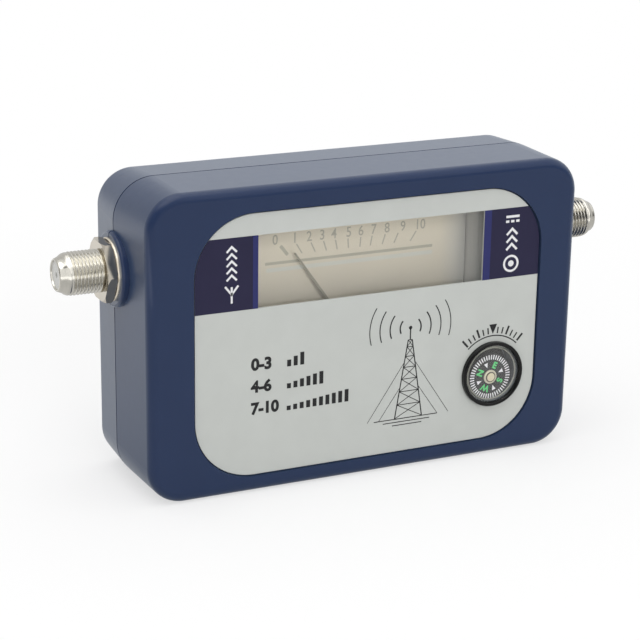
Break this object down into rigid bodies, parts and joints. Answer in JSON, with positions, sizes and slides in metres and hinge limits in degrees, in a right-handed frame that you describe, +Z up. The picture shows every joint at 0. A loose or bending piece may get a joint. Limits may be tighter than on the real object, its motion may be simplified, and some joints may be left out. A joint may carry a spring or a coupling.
{
  "type": "tv signal finder",
  "caption": "Hand-held signal strength finder: drafted two-shell case, moving-coil meter behind a window, compass in the face, threaded coaxial sockets in its ends.",
  "frame": {"origin": "under the middle of the bounding box, at the case's lowest edge", "axes": "+X to the right seen from the front, along the sockets; +Y into the case towards its back; +Z up"},
  "size_m": [0.1318, 0.0314, 0.0685],
  "materials": {
    "case_plastic": "satin navy moulding",
    "label": "satin silver-grey printed sheet",
    "clear": "clear moulding",
    "black_plastic": "black moulding",
    "card": "printed card",
    "meter_plastic": "grey moulding",
    "dial": "cream printed plate",
    "pointer": "dark painted strip",
    "nickel": "bright nickel plate",
    "steel": "zinc plated steel",
    "magnet": "dark sintered or iron",
    "brass": "turned or rolled brass",
    "copper": "enamelled or tinned copper",
    "insulator": "white moulding",
    "board": "green lacquered board",
    "lamp": "tinted lamp",
    "can": "sleeved can",
    "ferrite": "wound ferrite",
    "disc": "dipped ceramic",
    "resistor": "dipped resistor",
    "diode": "glass diode",
    "trimmer": "blue moulding"
  },
  "bodies": {
    "root": {"front_shell": "case_plastic", "rear_shell": "case_plastic", "case_screws": "steel", "face_label": "label", "window_pane": "clear", "compass_rim": "black_plastic", "compass_retainer": "steel", "compass_cup": "black_plastic", "compass_lens": "clear", "compass_pin": "steel", "meter_case": "meter_plastic", "meter_screws": "steel", "meter_dial": "dial", "dial_screws": "steel", "core_magnet": "magnet", "core_strap": "pointer", "meter_yoke": "magnet", "needle_stops": "steel", "pivot_bridge": "brass", "bridge_columns": "brass", "jewel_screws": "steel", "front_hairspring": "brass", "rear_hairspring": "brass", "spring_studs": "brass", "backlight_leds": "lamp", "meter_terminals": "brass", "circuit_board": "board", "board_screws": "steel", "electrolytic_capacitors": "can", "inductors": "ferrite", "amplifier_chip": "black_plastic", "transistors": "black_plastic", "ceramic_capacitors": "disc", "resistors": "resistor", "detector_diodes": "diode", "trimmer": "trimmer", "antenna_socket_barrel": "nickel", "antenna_socket_insulator": "insulator", "antenna_socket_contact": "brass", "antenna_washer": "nickel", "antenna_hex_nut": "nickel", "antenna_ground_lug": "copper", "antenna_signal_wire": "copper", "power_socket_barrel": "nickel", "power_socket_insulator": "insulator", "power_socket_contact": "brass", "power_washer": "nickel", "power_hex_nut": "nickel", "power_ground_lug": "copper", "power_signal_wire": "copper"},
    "needle": {"meter_needle": "pointer", "needle_weight": "brass", "meter_coil": "copper", "meter_pivots": "steel"},
    "card": {"compass_card": "card", "compass_magnet": "magnet", "compass_jewel": "brass"}
  },
  "joints": [
    {"name": "needle_swing", "type": "hinge", "parent": "root", "child": "needle", "pos_m": [0.00067, 0.00255, 0.02924], "axis": [0, 1, 0], "range_deg": [-4.9, 72.1], "stiffness_Nm_per_rad": 0.00002},
    {"name": "card_turn", "type": "hinge", "parent": "root", "child": "card", "pos_m": [0.0313, 0.00255, 0.0185], "axis": [0, 1, 0], "continuous": true}
  ]
}
